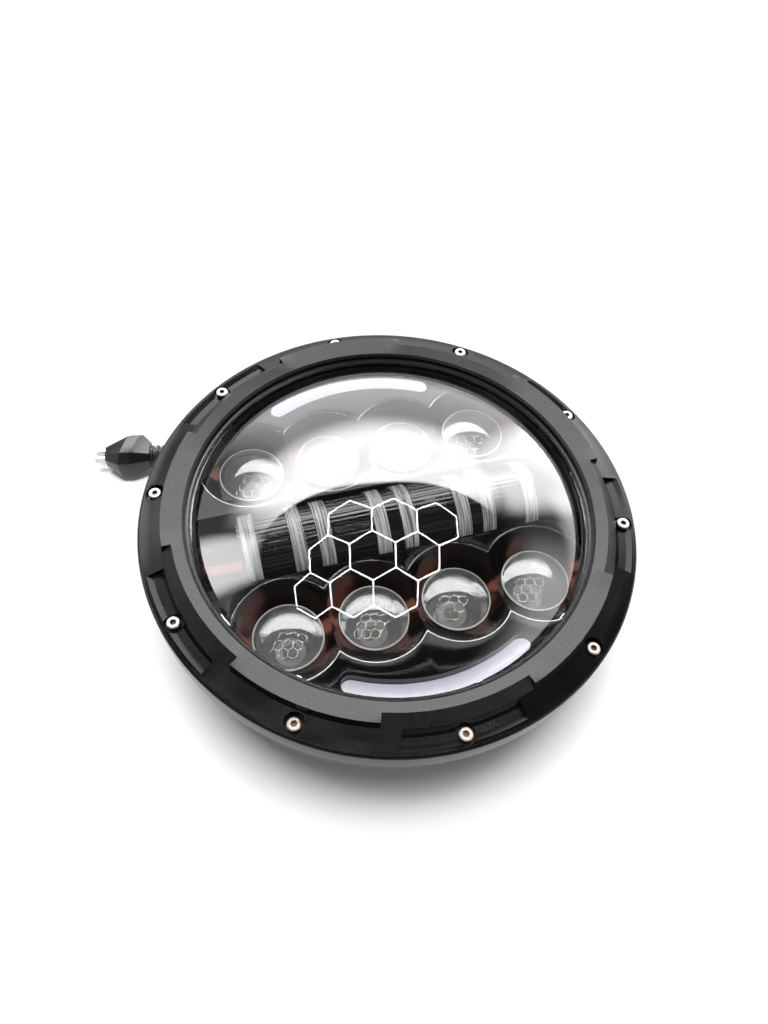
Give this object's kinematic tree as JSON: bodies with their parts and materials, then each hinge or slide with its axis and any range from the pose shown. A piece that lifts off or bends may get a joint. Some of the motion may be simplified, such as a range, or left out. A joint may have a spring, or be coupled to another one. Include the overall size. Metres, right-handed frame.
{
  "type": "round auxiliary light",
  "caption": "Round LED auxiliary light with a screwed trim ring, domed clear lens, black reflector with projector lenses and light arcs, finned die-cast housing and a short cord with a plug.",
  "frame": {"origin": "on the optical axis, at the level of the fin tips that the lamp rests on", "axes": "+Z along the optical axis, out of the lens; +Y to the top of the lamp; +X to its right seen from the front"},
  "size_m": [0.1997, 0.2018, 0.0876],
  "materials": {
    "ring_coat": "satin black powder coat, finely grained",
    "screw_steel": "bright stainless steel",
    "lens_clear": "clear polycarbonate, polished",
    "gasket_rubber": "black rubber",
    "housing_coat": "satin black coated die casting",
    "reflector_chrome": "black vacuum-metallised plastic",
    "projector_clear": "clear moulded lens",
    "emitter_yellow": "emitter package with a phosphor window",
    "guide_white": "milky white light guide",
    "rib_clear": "clear fluted light guide",
    "cover_smoke": "dark smoked plastic, polished",
    "board_white": "white solder mask on a metal-core board",
    "board_green": "green solder mask",
    "pad_grey": "grey thermal pad",
    "spreader_metal": "milled aluminium",
    "coil_copper": "enamelled copper winding",
    "capacitor_sleeve": "dark shrink sleeve",
    "chip_black": "moulded package",
    "terminal_grey": "moulded nylon",
    "cord_sheath": "black flexible sheath",
    "plug_plastic": "satin black moulded plastic",
    "blade_metal": "nickel-plated contact"
  },
  "bodies": {
    "root": {"band_cover": "cover_smoke", "band_rib_1": "rib_clear", "band_rib_2": "rib_clear", "band_rib_3": "rib_clear", "band_rib_4": "rib_clear", "band_rib_5": "rib_clear", "band_rib_6": "rib_clear", "band_rib_7": "rib_clear", "band_rib_8": "rib_clear", "board_screws": "screw_steel", "breather_vent": "gasket_rubber", "cable_gland": "gasket_rubber", "centre_led_strip": "board_white", "centre_light_bar": "rib_clear", "cord": "cord_sheath", "driver_board": "board_green", "driver_capacitor": "capacitor_sleeve", "driver_chip": "chip_black", "driver_coil": "coil_copper", "driver_screws": "screw_steel", "drl_guide_lower": "guide_white", "drl_guide_upper": "guide_white", "drl_strip_lower": "board_white", "drl_strip_upper": "board_white", "front_lens": "lens_clear", "heat_spreader": "spreader_metal", "housing_seal": "gasket_rubber", "led_board_lower": "board_white", "led_board_upper": "board_white", "led_emitter_1": "emitter_yellow", "led_emitter_2": "emitter_yellow", "led_emitter_3": "emitter_yellow", "led_emitter_4": "emitter_yellow", "led_emitter_5": "emitter_yellow", "led_emitter_6": "emitter_yellow", "led_emitter_7": "emitter_yellow", "led_emitter_8": "emitter_yellow", "lens_gasket": "gasket_rubber", "plug_blade_1": "blade_metal", "plug_blade_2": "blade_metal", "plug_body": "plug_plastic", "plug_strain_relief": "cord_sheath", "projector_lens_1": "projector_clear", "projector_lens_2": "projector_clear", "projector_lens_3": "projector_clear", "projector_lens_4": "projector_clear", "projector_lens_5": "projector_clear", "projector_lens_6": "projector_clear", "projector_lens_7": "projector_clear", "projector_lens_8": "projector_clear", "rear_housing": "housing_coat", "reflector": "reflector_chrome", "ring_screws": "screw_steel", "spreader_screws": "screw_steel", "supply_lead": "cord_sheath", "terminal_block": "terminal_grey", "thermal_pad_lower": "pad_grey", "thermal_pad_upper": "pad_grey", "trim_ring": "ring_coat"}
  },
  "joints": []
}
